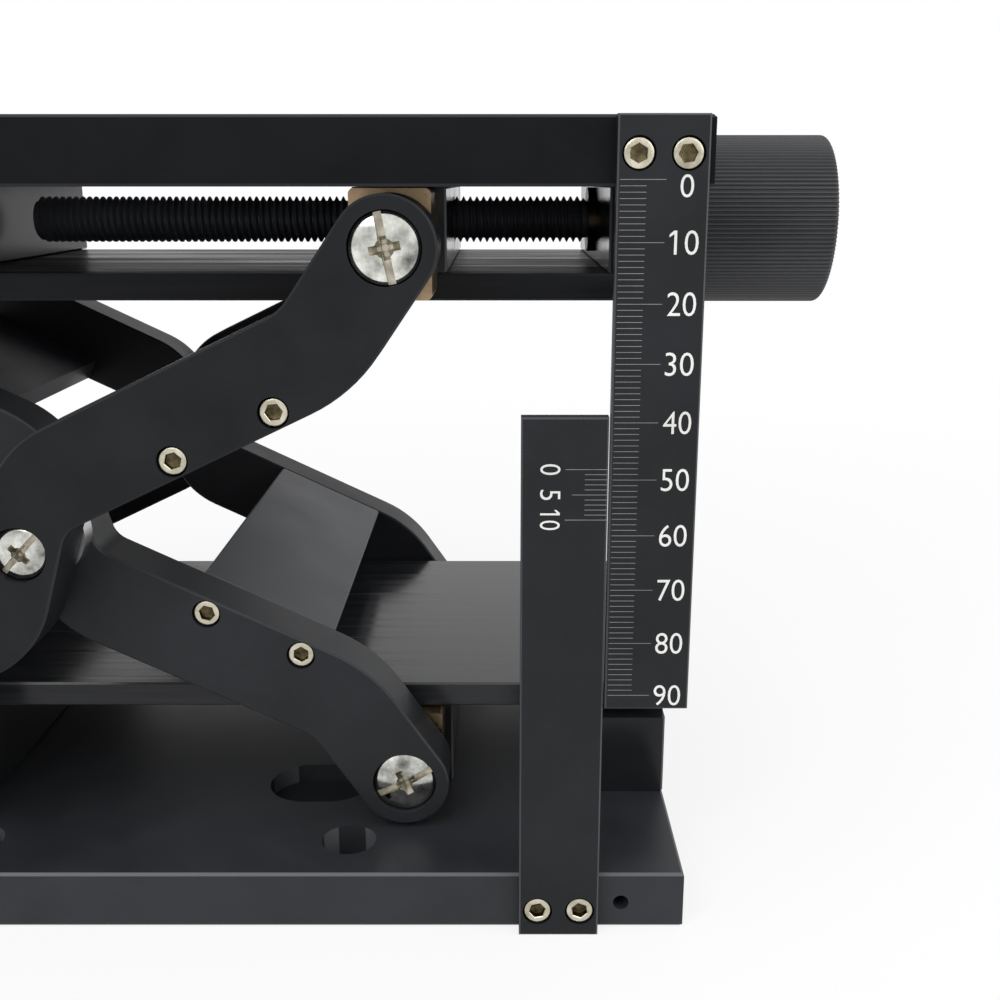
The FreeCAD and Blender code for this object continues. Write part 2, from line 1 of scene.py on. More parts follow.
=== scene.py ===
import bpy
import bmesh
import json
import math
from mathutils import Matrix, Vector


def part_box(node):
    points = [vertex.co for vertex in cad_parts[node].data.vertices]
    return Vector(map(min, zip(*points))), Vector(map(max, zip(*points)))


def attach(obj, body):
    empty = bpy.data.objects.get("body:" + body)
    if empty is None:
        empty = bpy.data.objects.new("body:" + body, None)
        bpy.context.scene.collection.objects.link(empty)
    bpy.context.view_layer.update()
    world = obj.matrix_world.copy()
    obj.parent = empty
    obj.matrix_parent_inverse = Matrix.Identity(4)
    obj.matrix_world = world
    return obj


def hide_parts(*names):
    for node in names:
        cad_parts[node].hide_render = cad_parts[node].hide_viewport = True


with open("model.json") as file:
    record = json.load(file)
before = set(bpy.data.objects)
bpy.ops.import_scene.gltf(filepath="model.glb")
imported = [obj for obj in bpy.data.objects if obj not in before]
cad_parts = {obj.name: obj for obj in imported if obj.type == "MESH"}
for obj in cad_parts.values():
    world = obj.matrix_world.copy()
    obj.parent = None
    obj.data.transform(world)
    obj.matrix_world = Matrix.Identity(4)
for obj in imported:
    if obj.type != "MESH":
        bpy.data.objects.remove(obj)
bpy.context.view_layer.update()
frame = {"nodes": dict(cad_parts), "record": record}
nodes = frame["nodes"]
mm = 0.001
print("frame loaded:", len(nodes), "nodes")

# everything below is in millimetres until a mesh is made, and the stage stands as in the photo

# node helpers

def newGroup(name, inputs, outputs):
    group = bpy.data.node_groups.new(name, "ShaderNodeTree")
    for label, kind, value in inputs:
        socket = group.interface.new_socket(name=label, in_out="INPUT", socket_type=kind)
        socket.default_value = value
    for label, kind in outputs:
        group.interface.new_socket(name=label, in_out="OUTPUT", socket_type=kind)
    return group, group.nodes.new("NodeGroupInput"), group.nodes.new("NodeGroupOutput")


def addNode(tree, kind, values=None, **settings):
    node = tree.nodes.new(kind)
    for key, value in settings.items():
        setattr(node, key, value)
    for key, value in (values or {}).items():
        node.inputs[key].default_value = value
    return node


def mathNode(tree, operation, a, b=None):
    node = addNode(tree, "ShaderNodeMath", operation=operation)
    for index, value in enumerate((a, b)):
        if value is None:
            continue
        if isinstance(value, (int, float)):
            node.inputs[index].default_value = value
        else:
            tree.links.new(value, node.inputs[index])
    return node.outputs[0]


def mixColor(tree, factor, a, b):
    # from a to b, which are colours or sockets
    node = addNode(tree, "ShaderNodeMix", data_type="RGBA")
    tree.links.new(factor, node.inputs["Factor"])
    for socket, value in ((node.inputs[6], a), (node.inputs[7], b)):
        if isinstance(value, tuple):
            socket.default_value = value
        else:
            tree.links.new(value, socket)
    return node.outputs[2]


def rangeNode(tree, value, low, high, toLow, toHigh):
    node = addNode(tree, "ShaderNodeMapRange", {1: low, 2: high, 3: toLow, 4: toHigh})
    tree.links.new(value, node.inputs[0])
    return node.outputs[0]


grainLook = {
    "mottleScale": 55.0, "mottleRange": (0.3, 0.7),
    "fineScale": 4200.0, "speckRange": (0.62, 0.78), "speckShare": 0.25,
    "bumpDepth": 0.00006,  # metres
}


def makeGrainGroup():
    # fine grain: a soft mottle for colour and roughness, light specks and a tiny bump
    look = grainLook
    group, start, end = newGroup("anodisedGrain", [
        ("Scale", "NodeSocketFloat", 1.0),
        ("Bump", "NodeSocketFloat", 0.05),
    ], [
        ("Mottle", "NodeSocketFloat"),
        ("Speck", "NodeSocketFloat"),
        ("Normal", "NodeSocketVector"),
    ])
    place = addNode(group, "ShaderNodeTexCoord")
    big = addNode(group, "ShaderNodeTexNoise", {"Detail": 4.0, "Roughness": 0.6})
    fine = addNode(group, "ShaderNodeTexNoise", {"Detail": 2.0, "Roughness": 0.7})
    group.links.new(place.outputs["Object"], big.inputs["Vector"])
    group.links.new(place.outputs["Object"], fine.inputs["Vector"])
    for noise, times in ((big, look["mottleScale"]), (fine, look["fineScale"])):
        scale = mathNode(group, "MULTIPLY", start.outputs["Scale"], times)
        group.links.new(scale, noise.inputs["Scale"])
    bump = addNode(group, "ShaderNodeBump", {"Distance": look["bumpDepth"]})
    group.links.new(fine.outputs["Fac"], bump.inputs["Height"])
    group.links.new(start.outputs["Bump"], bump.inputs["Strength"])
    mottle = rangeNode(group, big.outputs["Fac"], *look["mottleRange"], 0.0, 1.0)
    speck = rangeNode(group, fine.outputs["Fac"], *look["speckRange"], 0.0, 1.0)
    group.links.new(mottle, end.inputs["Mottle"])
    group.links.new(speck, end.inputs["Speck"])
    group.links.new(bump.outputs["Normal"], end.inputs["Normal"])
    return group


edgeLook = {"leanFrom": 0.25, "leanTo": 0.9}  # of the normal, along Y


def makeEdgeGroup():
    # Painted highlight on the chamfers round a front or back face, whose normal leans from the Y
    # axis, and 0 on flat faces
    look = edgeLook
    group, start, end = newGroup("paintedEdgeHighlight", [
        ("Wear", "NodeSocketFloat", 0.3),
    ], [("Mask", "NodeSocketFloat")])
    geometry = addNode(group, "ShaderNodeNewGeometry")
    turn = addNode(group, "ShaderNodeVectorTransform", convert_from="WORLD", convert_to="OBJECT",
                   vector_type="NORMAL")
    group.links.new(geometry.outputs["True Normal"], turn.inputs[0])
    split = addNode(group, "ShaderNodeSeparateXYZ")
    group.links.new(turn.outputs[0], split.inputs[0])
    depth = mathNode(group, "ABSOLUTE", split.outputs["Y"])
    above = mathNode(group, "GREATER_THAN", depth, look["leanFrom"])
    below = mathNode(group, "LESS_THAN", depth, look["leanTo"])
    edge = mathNode(group, "MULTIPLY", above, below)
    group.links.new(mathNode(group, "MULTIPLY", edge, start.outputs["Wear"]), end.inputs["Mask"])
    return group


streakLook = {"detail": 5.0, "noiseRoughness": 0.65, "range": (0.35, 0.68), "bumpDepth": 0.00008}


def makeStreakGroup():
    # long streaks left by a milling cutter, along one axis
    look = streakLook
    group, start, end = newGroup("millStreaks", [
        ("Stretch", "NodeSocketVector", (6.0, 420.0, 6.0)),
        ("Bump", "NodeSocketFloat", 0.1),
    ], [("Streak", "NodeSocketFloat"), ("Normal", "NodeSocketVector")])
    place = addNode(group, "ShaderNodeTexCoord")
    scaled = addNode(group, "ShaderNodeVectorMath", operation="MULTIPLY")
    group.links.new(place.outputs["Object"], scaled.inputs[0])
    group.links.new(start.outputs["Stretch"], scaled.inputs[1])
    lines = addNode(group, "ShaderNodeTexNoise", {
        "Scale": 1.0, "Detail": look["detail"], "Roughness": look["noiseRoughness"]})
    group.links.new(scaled.outputs[0], lines.inputs["Vector"])
    bump = addNode(group, "ShaderNodeBump", {"Distance": look["bumpDepth"]})
    group.links.new(lines.outputs["Fac"], bump.inputs["Height"])
    group.links.new(start.outputs["Bump"], bump.inputs["Strength"])
    streak = rangeNode(group, lines.outputs["Fac"], *look["range"], 0.0, 1.0)
    group.links.new(streak, end.inputs["Streak"])
    group.links.new(bump.outputs["Normal"], end.inputs["Normal"])
    return group


grainGroup = makeGrainGroup()
edgeGroup = makeEdgeGroup()
streakGroup = makeStreakGroup()


def newMaterial(name, metallic=0.0, specular=0.5):
    material = bpy.data.materials.new(name)
    material.use_nodes = True
    tree = material.node_tree
    shader = tree.nodes["Principled BSDF"]
    shader.inputs["Metallic"].default_value = metallic
    shader.inputs["Specular IOR Level"].default_value = specular
    return material, tree, shader


def groupNode(tree, group, **values):
    node = addNode(tree, "ShaderNodeGroup", node_tree=group)
    for key, value in values.items():
        node.inputs[key].default_value = value
    return node


def anodised(name, look):
    # black anodised aluminium: dark, a little uneven, with a painted highlight on the chamfers
    material, tree, shader = newMaterial(name, specular=look["specular"])
    grain = groupNode(tree, grainGroup, Scale=1.0, Bump=look["bump"])
    edge = groupNode(tree, edgeGroup, Wear=look["edgeHighlight"])
    base = mixColor(tree, grain.outputs["Mottle"], look["dark"], look["light"])
    speckShare = mathNode(tree, "MULTIPLY", grain.outputs["Speck"], grainLook["speckShare"])
    speckled = mixColor(tree, speckShare, base, look["speck"])
    # the chamfers get a lighter colour: painted highlight
    highlighted = mixColor(tree, edge.outputs["Mask"], speckled, look["edge"])
    tree.links.new(highlighted, shader.inputs["Base Color"])
    rough = rangeNode(tree, grain.outputs["Mottle"], 0.0, 1.0, look["smooth"], look["rough"])
    tree.links.new(rough, shader.inputs["Roughness"])
    tree.links.new(grain.outputs["Normal"], shader.inputs["Normal"])
    return material


def milled(name, look):
    # black anodised over visible milling streaks, with a painted highlight on the chamfers
    material, tree, shader = newMaterial(name, specular=look["specular"])
    streak = groupNode(tree, streakGroup, Stretch=look["stretch"], Bump=look["bump"])
    edge = groupNode(tree, edgeGroup, Wear=look["edgeHighlight"])
    base = mixColor(tree, streak.outputs["Streak"], look["dark"], look["light"])
    # the chamfers get a lighter colour: painted highlight
    highlighted = mixColor(tree, edge.outputs["Mask"], base, look["edge"])
    tree.links.new(highlighted, shader.inputs["Base Color"])
    rough = rangeNode(tree, streak.outputs["Streak"], 0.0, 1.0, look["smooth"], look["rough"])
    tree.links.new(rough, shader.inputs["Roughness"])
    tree.links.new(streak.outputs["Normal"], shader.inputs["Normal"])
    return material


def metal(name, look):
    # bare metal with a faint mottle in its roughness and colour
    material, tree, shader = newMaterial(name, metallic=1.0)
    grain = groupNode(tree, grainGroup, Scale=look.get("grain", 1.0), Bump=look["bump"])
    base = mixColor(tree, grain.outputs["Mottle"], look["dark"], look["light"])
    tree.links.new(base, shader.inputs["Base Color"])
    rough = rangeNode(tree, grain.outputs["Mottle"], 0.0, 1.0, look["smooth"], look["rough"])
    tree.links.new(rough, shader.inputs["Roughness"])
    tree.links.new(grain.outputs["Normal"], shader.inputs["Normal"])
    return material


def scalePaint(name, look):
    # the paint of the marks and numbers, a little uneven
    material, tree, shader = newMaterial(name, specular=look["specular"])
    grain = groupNode(tree, grainGroup, Scale=look["grain"], Bump=look["bump"])
    base = mixColor(tree, grain.outputs["Mottle"], look["dark"], look["light"])
    tree.links.new(base, shader.inputs["Base Color"])
    shader.inputs["Roughness"].default_value = look["rough"]
    return material


def black(value):
    # anodised black leans a little to blue
    return (value, value * 1.06, value * 1.22, 1.0)


# the colour of the painted highlight on the chamfers; each finish sets how much of it shows
edgeHighlightColor = (0.16, 0.165, 0.175, 1.0)
finishLooks = {
    "plateBlack": (anodised, {
        "dark": black(0.018), "light": black(0.026),
        "speck": black(0.05), "edge": edgeHighlightColor, "edgeHighlight": 0.45, "specular": 0.22,
        "smooth": 0.34, "rough": 0.44, "bump": 0.25}),
    "platformBlack": (anodised, {
        "dark": black(0.004), "light": black(0.0065),
        "speck": black(0.03), "edge": edgeHighlightColor, "edgeHighlight": 0.15, "specular": 0.07,
        "smooth": 0.36, "rough": 0.46, "bump": 0.25}),
    "blockBlack": (anodised, {
        "dark": black(0.009), "light": black(0.014),
        "speck": black(0.04), "edge": edgeHighlightColor, "edgeHighlight": 0.3, "specular": 0.2,
        "smooth": 0.14, "rough": 0.22, "bump": 0.15}),
    "leftBlockBlack": (anodised, {
        "dark": black(0.007), "light": black(0.011),
        "speck": black(0.03), "edge": edgeHighlightColor, "edgeHighlight": 0.3, "specular": 0.13,
        "smooth": 0.2, "rough": 0.28, "bump": 0.15}),
    "armBlack": (anodised, {
        "dark": black(0.013), "light": black(0.019),
        "speck": black(0.05), "edge": edgeHighlightColor, "edgeHighlight": 0.12, "specular": 0.16,
        "smooth": 0.36, "rough": 0.46, "bump": 0.3}),
    "outerArmBlack": (anodised, {
        "dark": black(0.0085), "light": black(0.013),
        "speck": black(0.04), "edge": edgeHighlightColor, "edgeHighlight": 0.08, "specular": 0.11,
        "smooth": 0.38, "rough": 0.48, "bump": 0.3}),
    "crossBlack": (anodised, {
        "dark": black(0.045), "light": black(0.06),
        "speck": black(0.08), "edge": edgeHighlightColor, "edgeHighlight": 0.3, "specular": 0.3,
        "smooth": 0.42, "rough": 0.52, "bump": 0.3}),
    "scaleBlack": (anodised, {
        "dark": black(0.0105), "light": black(0.015),
        "speck": black(0.04), "edge": edgeHighlightColor, "edgeHighlight": 0.3, "specular": 0.15,
        "smooth": 0.38, "rough": 0.48, "bump": 0.2}),
    "knobBlack": (anodised, {
        "dark": black(0.014), "light": black(0.021),
        "speck": black(0.05), "edge": edgeHighlightColor, "edgeHighlight": 0.0, "specular": 0.45,
        "smooth": 0.40, "rough": 0.50, "bump": 0.2}),
    "guideBlack": (milled, {
        "dark": black(0.009), "light": black(0.024),
        "edge": edgeHighlightColor, "edgeHighlight": 0.25, "stretch": (8.0, 520.0, 300.0), "specular": 0.3,
        "smooth": 0.14, "rough": 0.28, "bump": 0.2}),
    "upperGuideBlack": (milled, {
        "dark": black(0.007), "light": black(0.016),
        "edge": edgeHighlightColor, "edgeHighlight": 0.15, "stretch": (8.0, 160.0, 300.0), "specular": 0.09,
        "smooth": 0.26, "rough": 0.5, "bump": 0.2}),
    "screwBlack": (anodised, {
        "dark": black(0.07), "light": black(0.105),
        "speck": black(0.14), "edge": edgeHighlightColor, "edgeHighlight": 0.0, "specular": 0.3,
        "smooth": 0.38, "rough": 0.48, "bump": 0.2}),
    "oxideSteel": (metal, {
        "dark": (0.045, 0.045, 0.050, 1.0), "light": (0.070, 0.070, 0.077, 1.0),
        "smooth": 0.25, "rough": 0.4, "bump": 0.2}),
    "bronze": (metal, {
        "dark": (0.19, 0.14, 0.085, 1.0), "light": (0.54, 0.38, 0.235, 1.0), "grain": 2.6,
        "smooth": 0.24, "rough": 0.40, "bump": 0.2}),
    "darkBronze": (metal, {
        "dark": (0.030, 0.024, 0.016, 1.0), "light": (0.075, 0.058, 0.036, 1.0), "grain": 2.6,
        "smooth": 0.3, "rough": 0.45, "bump": 0.2}),
    "nickel": (metal, {
        "dark": (0.12, 0.12, 0.11, 1.0), "light": (0.96, 0.96, 0.90, 1.0), "grain": 3.6,
        "smooth": 0.08, "rough": 0.14, "bump": 0.05}),
    # darker steel on the recess of the pivot screws: painted shade
    "recessShadeSteel": (metal, {
        "dark": (0.24, 0.22, 0.17, 1.0), "light": (0.62, 0.58, 0.49, 1.0), "grain": 8.0,
        "smooth": 0.35, "rough": 0.5, "bump": 0.3}),
    "stainless": (metal, {
        "dark": (0.38, 0.35, 0.26, 1.0), "light": (0.72, 0.67, 0.55, 1.0), "grain": 6.0,
        "smooth": 0.2, "rough": 0.3, "bump": 0.2}),
    # dark brown inside the hex sockets: painted shade
    "socketShadeBrown": (metal, {
        "dark": (0.020, 0.016, 0.008, 1.0), "light": (0.16, 0.13, 0.07, 1.0), "grain": 12.0,
        "smooth": 0.3, "rough": 0.45, "bump": 0.3}),
    "groundSteel": (metal, {
        "dark": (0.42, 0.42, 0.42, 1.0), "light": (0.55, 0.55, 0.55, 1.0),
        "smooth": 0.25, "rough": 0.35, "bump": 0.2}),
    "numberWhite": (scalePaint, {
        "dark": (0.56, 0.56, 0.54, 1.0), "light": (0.70, 0.70, 0.68, 1.0), "grain": 2.0,
        "specular": 0.2, "rough": 0.6, "bump": 0.1}),
    "markGrey": (scalePaint, {
        "dark": (0.17, 0.17, 0.17, 1.0), "light": (0.25, 0.25, 0.25, 1.0), "grain": 2.0,
        "specular": 0.2, "rough": 0.6, "bump": 0.1}),
}
finishes = {name: make(name, look) for name, (make, look) in finishLooks.items()}

slotFinish = {
    "plates": "plateBlack", "blocks": "blockBlack", "guides": "guideBlack", "arms": "armBlack",
    "cross_plates": "crossBlack", "scales": "scaleBlack", "knob": "knobBlack",
    "black_steel": "oxideSteel", "bronze": "bronze", "nickel": "nickel",
    "stainless": "stainless", "steel": "groundSteel",
}

nodeSlots = {entry["node"]: entry["material_slot"] for entry in frame["record"]["subparts"]}
# darker copies of the same finishes, given to these pieces one by one to darken them: painted shade
nodeFinish = {
    "platform_plate": "platformBlack", "upper_guide_plate": "upperGuideBlack",
    "front_outer_arm": "outerArmBlack", "rear_outer_arm": "outerArmBlack",
    "rear_inner_arm": "outerArmBlack", "lower_left_block": "leftBlockBlack",
    "upper_left_block": "leftBlockBlack", "screw_bushes": "darkBronze",
}
for name, node in nodes.items():
    node.data.materials.clear()
    node.data.materials.append(finishes[nodeFinish.get(name, slotFinish[nodeSlots[name]])])
print("finishes:", len(finishes))


# mesh helpers

def makePiece(name, verts, faces, finish, slot, body, smooth=40.0, marks=None, second=None):
    # marks holds 1 for each face that wears the second finish
    mesh = bpy.data.meshes.new(name)
    mesh.from_pydata([tuple(c * mm for c in v) for v in verts], [], faces)
    if marks:
        for polygon, mark in zip(mesh.polygons, marks):
            polygon.material_index = mark
    mesh.validate()
    work = bmesh.new()
    work.from_mesh(mesh)
    bmesh.ops.remove_doubles(work, verts=work.verts, dist=1e-7)
    bmesh.ops.recalc_face_normals(work, faces=work.faces)
    work.to_mesh(mesh)
    work.free()
    piece = bpy.data.objects.new(name, mesh)
    bpy.context.scene.collection.objects.link(piece)
    mesh.materials.append(finishes[finish])
    if second:
        mesh.materials.append(finishes[second])
    mesh.shade_smooth()
    mesh.set_sharp_from_angle(angle=math.radians(smooth))
    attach(piece, body)
    return piece


def boxOf(name):
    # lowest and highest corner of a node at rest, in mm
    low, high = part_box(name)
    return [low[i] / mm for i in range(3)], [high[i] / mm for i in range(3)]


def lathe(rings, count, closeStart=True):
    # rings are lists of count points, skinned one to the next and closed at the end
    verts, faces = [], []
    for ring in rings:
        verts += ring
    for row in range(len(rings) - 1):
        for i in range(count):
            j = (i + 1) % count
            a, b = row * count, (row + 1) * count
            faces.append((a + i, a + j, b + j, b + i))
    if closeStart:
        faces.append(tuple(range(count)))
    last = (len(rings) - 1) * count
    faces.append(tuple(range(last + count - 1, last - 1, -1)))
    return verts, faces


def circleRing(radius, depth, count, hexagon=False):
    # a ring round the Y axis, or a hexagon whose flats lie that far from it
    ring = []
    for i in range(count):
        angle = 2 * math.pi * i / count
        lean = (angle % (math.pi / 3)) - math.pi / 6
        r = radius / math.cos(lean) if hexagon else radius
        ring.append((r * math.cos(angle), depth, r * math.sin(angle)))
    return ring


def placed(verts, origin, turn=0.0, side=1):
    # turned about its own axis, then set at origin facing the front (side 1) or the back (-1)
    c, s = math.cos(turn), math.sin(turn)
    out = []
    for x, y, z in verts:
        x, z = x * c - z * s, x * s + z * c
        out.append((origin[0] + side * x, origin[1] + side * y, origin[2] + z))
    return out


def joined(parts):
    verts, faces = [], []
    for partVerts, partFaces in parts:
        start = len(verts)
        verts += partVerts
        faces += [tuple(i + start for i in face) for face in partFaces]
    return verts, faces


# socket head screws

screwShape = {"segments": 48, "edgeBulge": 0.3, "drillTip": 0.35, "drillPoint": 0.02}
smallScrew = {
    **screwShape, "headRadius": 2.5, "shankRadius": 1.5, "edge": 0.28,
    "hexFlat": 1.35, "hexDepth": 1.4, "mouth": 0.12,
    "armHead": 3.0, "scaleHead": 1.8,  # head heights
}


def socketScrew(look, headHeight, length):
    # the head's top is at depth 0, its shank runs to +Y
    n = look["segments"]
    r, e = look["headRadius"], look["edge"]
    flat, deep = look["hexFlat"], look["hexDepth"]
    bulge = e * look["edgeBulge"]
    rings = [
        circleRing(look["drillPoint"], deep + look["drillTip"], n),
        circleRing(flat, deep, n, True),
        circleRing(flat, look["mouth"], n, True),
        circleRing(flat + look["mouth"], 0.0, n, True),
        circleRing(r - e, 0.0, n),
        circleRing(r - bulge, bulge, n),
        circleRing(r, e, n),
        circleRing(r, headHeight, n),
        circleRing(look["shankRadius"], headHeight, n),
        circleRing(look["shankRadius"], headHeight + length, n),
    ]
    verts, faces = lathe(rings, n)
    # the first two rows and the first cap are the socket, which wears a dark brown finish: painted
    # shade in the hex socket
    marks = [1 if i < 2 * n or i == (len(rings) - 1) * n else 0 for i in range(len(faces))]
    return verts, faces, marks


def islands(name):
    # the box of each separate solid in a node, in mm, from left to right
    work = bmesh.new()
    work.from_mesh(nodes[name].data)
    bmesh.ops.remove_doubles(work, verts=work.verts, dist=1e-6)
    left = set(work.verts)
    found = []
    while left:
        stack = [left.pop()]
        group = list(stack)
        while stack:
            vert = stack.pop()
            for edge in vert.link_edges:
                other = edge.other_vert(vert)
                if other in left:
                    left.remove(other)
                    stack.append(other)
                    group.append(other)
        low = [min(v.co[i] for v in group) / mm for i in range(3)]
        high = [max(v.co[i] for v in group) / mm for i in range(3)]
        found.append((low, high))
    work.free()
    return sorted(found)


def sideScrews(name, body, headHeight, turns):
    # socket screws that lie along Y, from the front or the back, each with its own turn
    parts, marks = [], []
    for index, (low, high) in enumerate(islands(name)):
        side = 1 if low[1] < 0 else -1
        face = low[1] if side > 0 else high[1]
        length = high[1] - low[1] - headHeight
        verts, faces, screwMarks = socketScrew(smallScrew, headHeight, length)
        origin = ((low[0] + high[0]) / 2, face, (low[2] + high[2]) / 2)
        parts.append((placed(verts, origin, turns[index % len(turns)], side), faces))
        marks += screwMarks
    verts, faces = joined(parts)
    piece = makePiece(name + "_dressed", verts, faces, "stainless", "stainless", body,
                      marks=marks, second="socketShadeBrown")
    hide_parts(name)


sideScrews("ruler_screws", "platform", smallScrew["scaleHead"], (0.5, 0.1))
sideScrews("vernier_screws", "base", smallScrew["scaleHead"], (0.2, 0.7))
sideScrews("outer_cross_screws", "outer_arms", smallScrew["armHead"], (0.3, 0.9, 0.1, 0.6))
sideScrews("inner_cross_screws", "inner_arms", smallScrew["armHead"], (0.8, 0.2, 0.5, 0.05))

blockScrew = {
    **screwShape, "headRadius": 4.25, "shankRadius": 2.5, "edge": 0.5,
    "hexFlat": 2.02, "hexDepth": 2.6, "mouth": 0.2, "headHeight": 5.0, "turnStep": 0.4,
}


def blockScrews(name, body, upward):
    # the long screws through plate, block and guide plate
    look = blockScrew
    parts = []
    for index, (low, high) in enumerate(islands(name)):
        length = high[2] - low[2] - look["headHeight"]
        verts, faces, _ = socketScrew(look, look["headHeight"], length)
        x, y = (low[0] + high[0]) / 2, (low[1] + high[1]) / 2
        stood = []
        for a, depth, b in placed(verts, (0, 0, 0), look["turnStep"] * index):
            z = low[2] + depth if upward else high[2] - depth
            stood.append((x + a, y + b, z))
        parts.append((stood, faces))
    verts, faces = joined(parts)
    piece = makePiece(name + "_dressed", verts, faces, "oxideSteel", "black_steel", body)
    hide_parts(name)


blockScrews("lower_block_screws", "base", True)
blockScrews("upper_block_screws", "platform", False)
print("socket screws done")


# pivot screws with a crossed recess and a slot

pivotScrew = {
    "segments": 72, "dome": 0.9, "domeSteps": 10,
    "rim": 0.1, "rimDrop": 0.02, "rimBulge": (0.3, 0.35),  # the bulge in shares of the rim
    "recessFor": 6.15,  # the head radius that the recess sizes below belong to
    "slotWidth": 1.4, "slotDepth": 1.225, "slotClear": 1.0,
    "wingWidth": 1.7, "wingReach": 3.1, "wingDepth": 2.2, "wingTaper": 0.45,
    "pit": 1.9, "pitFloor": 0.6, "pitSink": 0.3, "pitSegments": 24,
    "cutFrom": -0.4,  # the cutters start this far over the head
    "sunkAtLeast": 0.1, "rimKept": 0.3, "seatKept": 0.2,  # which faces count as the recess
}


def domeSphere(headRadius, dome):
    # radius of the sphere that a domed head is part of
    return (headRadius ** 2 + dome ** 2) / (2 * dome)


def panProfile(headRadius, headHeight, shankRadius, length, dome):
    # (radius, depth) from the dome's centre to the shank's end; the head's top is at depth 0
    look = pivotScrew
    sphere = domeSphere(headRadius, dome)
    steps = look["domeSteps"]
    turnMost = math.asin(headRadius / sphere)
    profile = []
    for i in range(1, steps + 1):
        turn = turnMost * i / steps
        profile.append((sphere * math.sin(turn), sphere * (1 - math.cos(turn))))
    rim, (inward, down) = look["rim"], look["rimBulge"]
    profile[-1] = (headRadius - rim, profile[-1][1] - look["rimDrop"])
    profile.append((headRadius - rim * inward, dome + rim * down))
    profile.append((headRadius, dome + rim))
    profile.append((headRadius, headHeight))
    profile.append((shankRadius, headHeight))
    profile.append((shankRadius, headHeight + length))
    return profile


def boxMesh(x0, x1, y0, y1, z0, z1, taper=1.0):
    # a box whose far end in Y is scaled by taper
    verts = []
    for y, k in ((y0, 1.0), (y1, taper)):
        for x, z in ((x0, z0), (x1, z0), (x1, z1), (x0, z1)):
            verts.append((x * k, y, z * k))
    faces = [(0, 1, 2, 3), (7, 6, 5, 4), (0, 4, 5, 1), (1, 5, 6, 2), (2, 6, 7, 3), (3, 7, 4, 0)]
    return verts, faces


def looseObject(name, verts, faces):
    mesh = bpy.data.meshes.new(name)
    mesh.from_pydata([tuple(c * mm for c in v) for v in verts], [], faces)
    work = bmesh.new()
    work.from_mesh(mesh)
    bmesh.ops.recalc_face_normals(work, faces=work.faces)
    work.to_mesh(mesh)
    work.free()
    thing = bpy.data.objects.new(name, mesh)
    bpy.context.scene.collection.objects.link(thing)
    return thing


def carve(verts, faces, tools):
    # the shape less each tool, as vertices in mm and faces
    body = looseObject("carveBody", verts, faces)
    cutters = []
    for tool in tools:
        cutter = looseObject("carveTool", *tool)
        modifier = body.modifiers.new("cut", "BOOLEAN")
        modifier.operation = "DIFFERENCE"
        modifier.solver = "EXACT"
        modifier.object = cutter
        cutters.append(cutter)
    bpy.context.view_layer.update()
    done = body.evaluated_get(bpy.context.evaluated_depsgraph_get()).to_mesh()
    outVerts = [tuple(c / mm for c in v.co) for v in done.vertices]
    outFaces = [tuple(p.vertices) for p in done.polygons]
    for thing in [body] + cutters:
        bpy.data.objects.remove(thing)
    return outVerts, outFaces


def pivotHead(headRadius, headHeight, shankRadius, length):
    look = pivotScrew
    n = look["segments"]
    profile = panProfile(headRadius, headHeight, shankRadius, length, look["dome"])
    rings = [circleRing(r, depth, n) for r, depth in profile]
    verts, faces = lathe(rings, n)
    size = headRadius / look["recessFor"]
    half, reach = look["slotWidth"] * size / 2, headRadius + look["slotClear"]
    slot = boxMesh(-half, half, -look["slotClear"], look["slotDepth"], -reach, reach)
    wing, span = look["wingWidth"] * size / 2, look["wingReach"] * size
    over, deep, taper = look["cutFrom"], look["wingDepth"], look["wingTaper"]
    cross = boxMesh(-wing, wing, over, deep, -span, span, taper)
    other = boxMesh(-span, span, over, deep, -wing, wing, taper)
    count = look["pitSegments"]
    pit = lathe([
        circleRing(look["pit"] * size, over, count),
        circleRing(look["pitFloor"] * size, deep + look["pitSink"], count)], count)
    verts, faces = carve(verts, faces, [slot, cross, other, pit])
    # faces that lie below the dome, and over the head's seat, are the recess, which wears a darker
    # steel finish: painted shade
    sphere = domeSphere(headRadius, look["dome"])
    marks = []
    for face in faces:
        x, y, z = [sum(verts[i][axis] for i in face) / len(face) for axis in range(3)]
        r = math.hypot(x, z)
        sunk = y > r ** 2 / (2 * sphere) + look["sunkAtLeast"]
        inside = r < headRadius - look["rimKept"] and y < headHeight - look["seatKept"]
        marks.append(1 if sunk and inside else 0)
    return verts, faces, marks


def pivotScrews(name, body, headRadius, headHeight, shankRadius, turns):
    parts, marks = [], []
    for index, (low, high) in enumerate(islands(name)):
        side = 1 if low[1] < 0 else -1
        face = low[1] if side > 0 else high[1]
        length = high[1] - low[1] - headHeight
        verts, faces, headMarks = pivotHead(headRadius, headHeight, shankRadius, length)
        origin = ((low[0] + high[0]) / 2, face, (low[2] + high[2]) / 2)
        parts.append((placed(verts, origin, turns[index], side), faces))
        marks += headMarks
    verts, faces = joined(parts)
    piece = makePiece(name + "_dressed", verts, faces, "nickel", "nickel", body,
                      smooth=30.0, marks=marks, second="recessShadeSteel")
    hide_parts(name)


# head radius, head height and shank radius, and the turn of the front and the rear screw's slot
endPivot = (6.15, 3.0, 3.0)
centrePivot = (4.85, 2.8, 2.5)
pivotScrews("upper_sliding_pivot_screws", "upper_slide", *endPivot, (0.2, -0.5))
pivotScrews("lower_sliding_pivot_screws", "lower_slide", *endPivot, (-1.1, 0.4))
pivotScrews("upper_fixed_pivot_screws", "platform", *endPivot, (0.7, 0.1))
pivotScrews("lower_fixed_pivot_screws", "base", *endPivot, (-0.3, 1.2))
pivotScrews("centre_pivot_screws", "inner_arms", *centrePivot, (-0.75, 0.3))
print("pivot screws done")


# lead screw

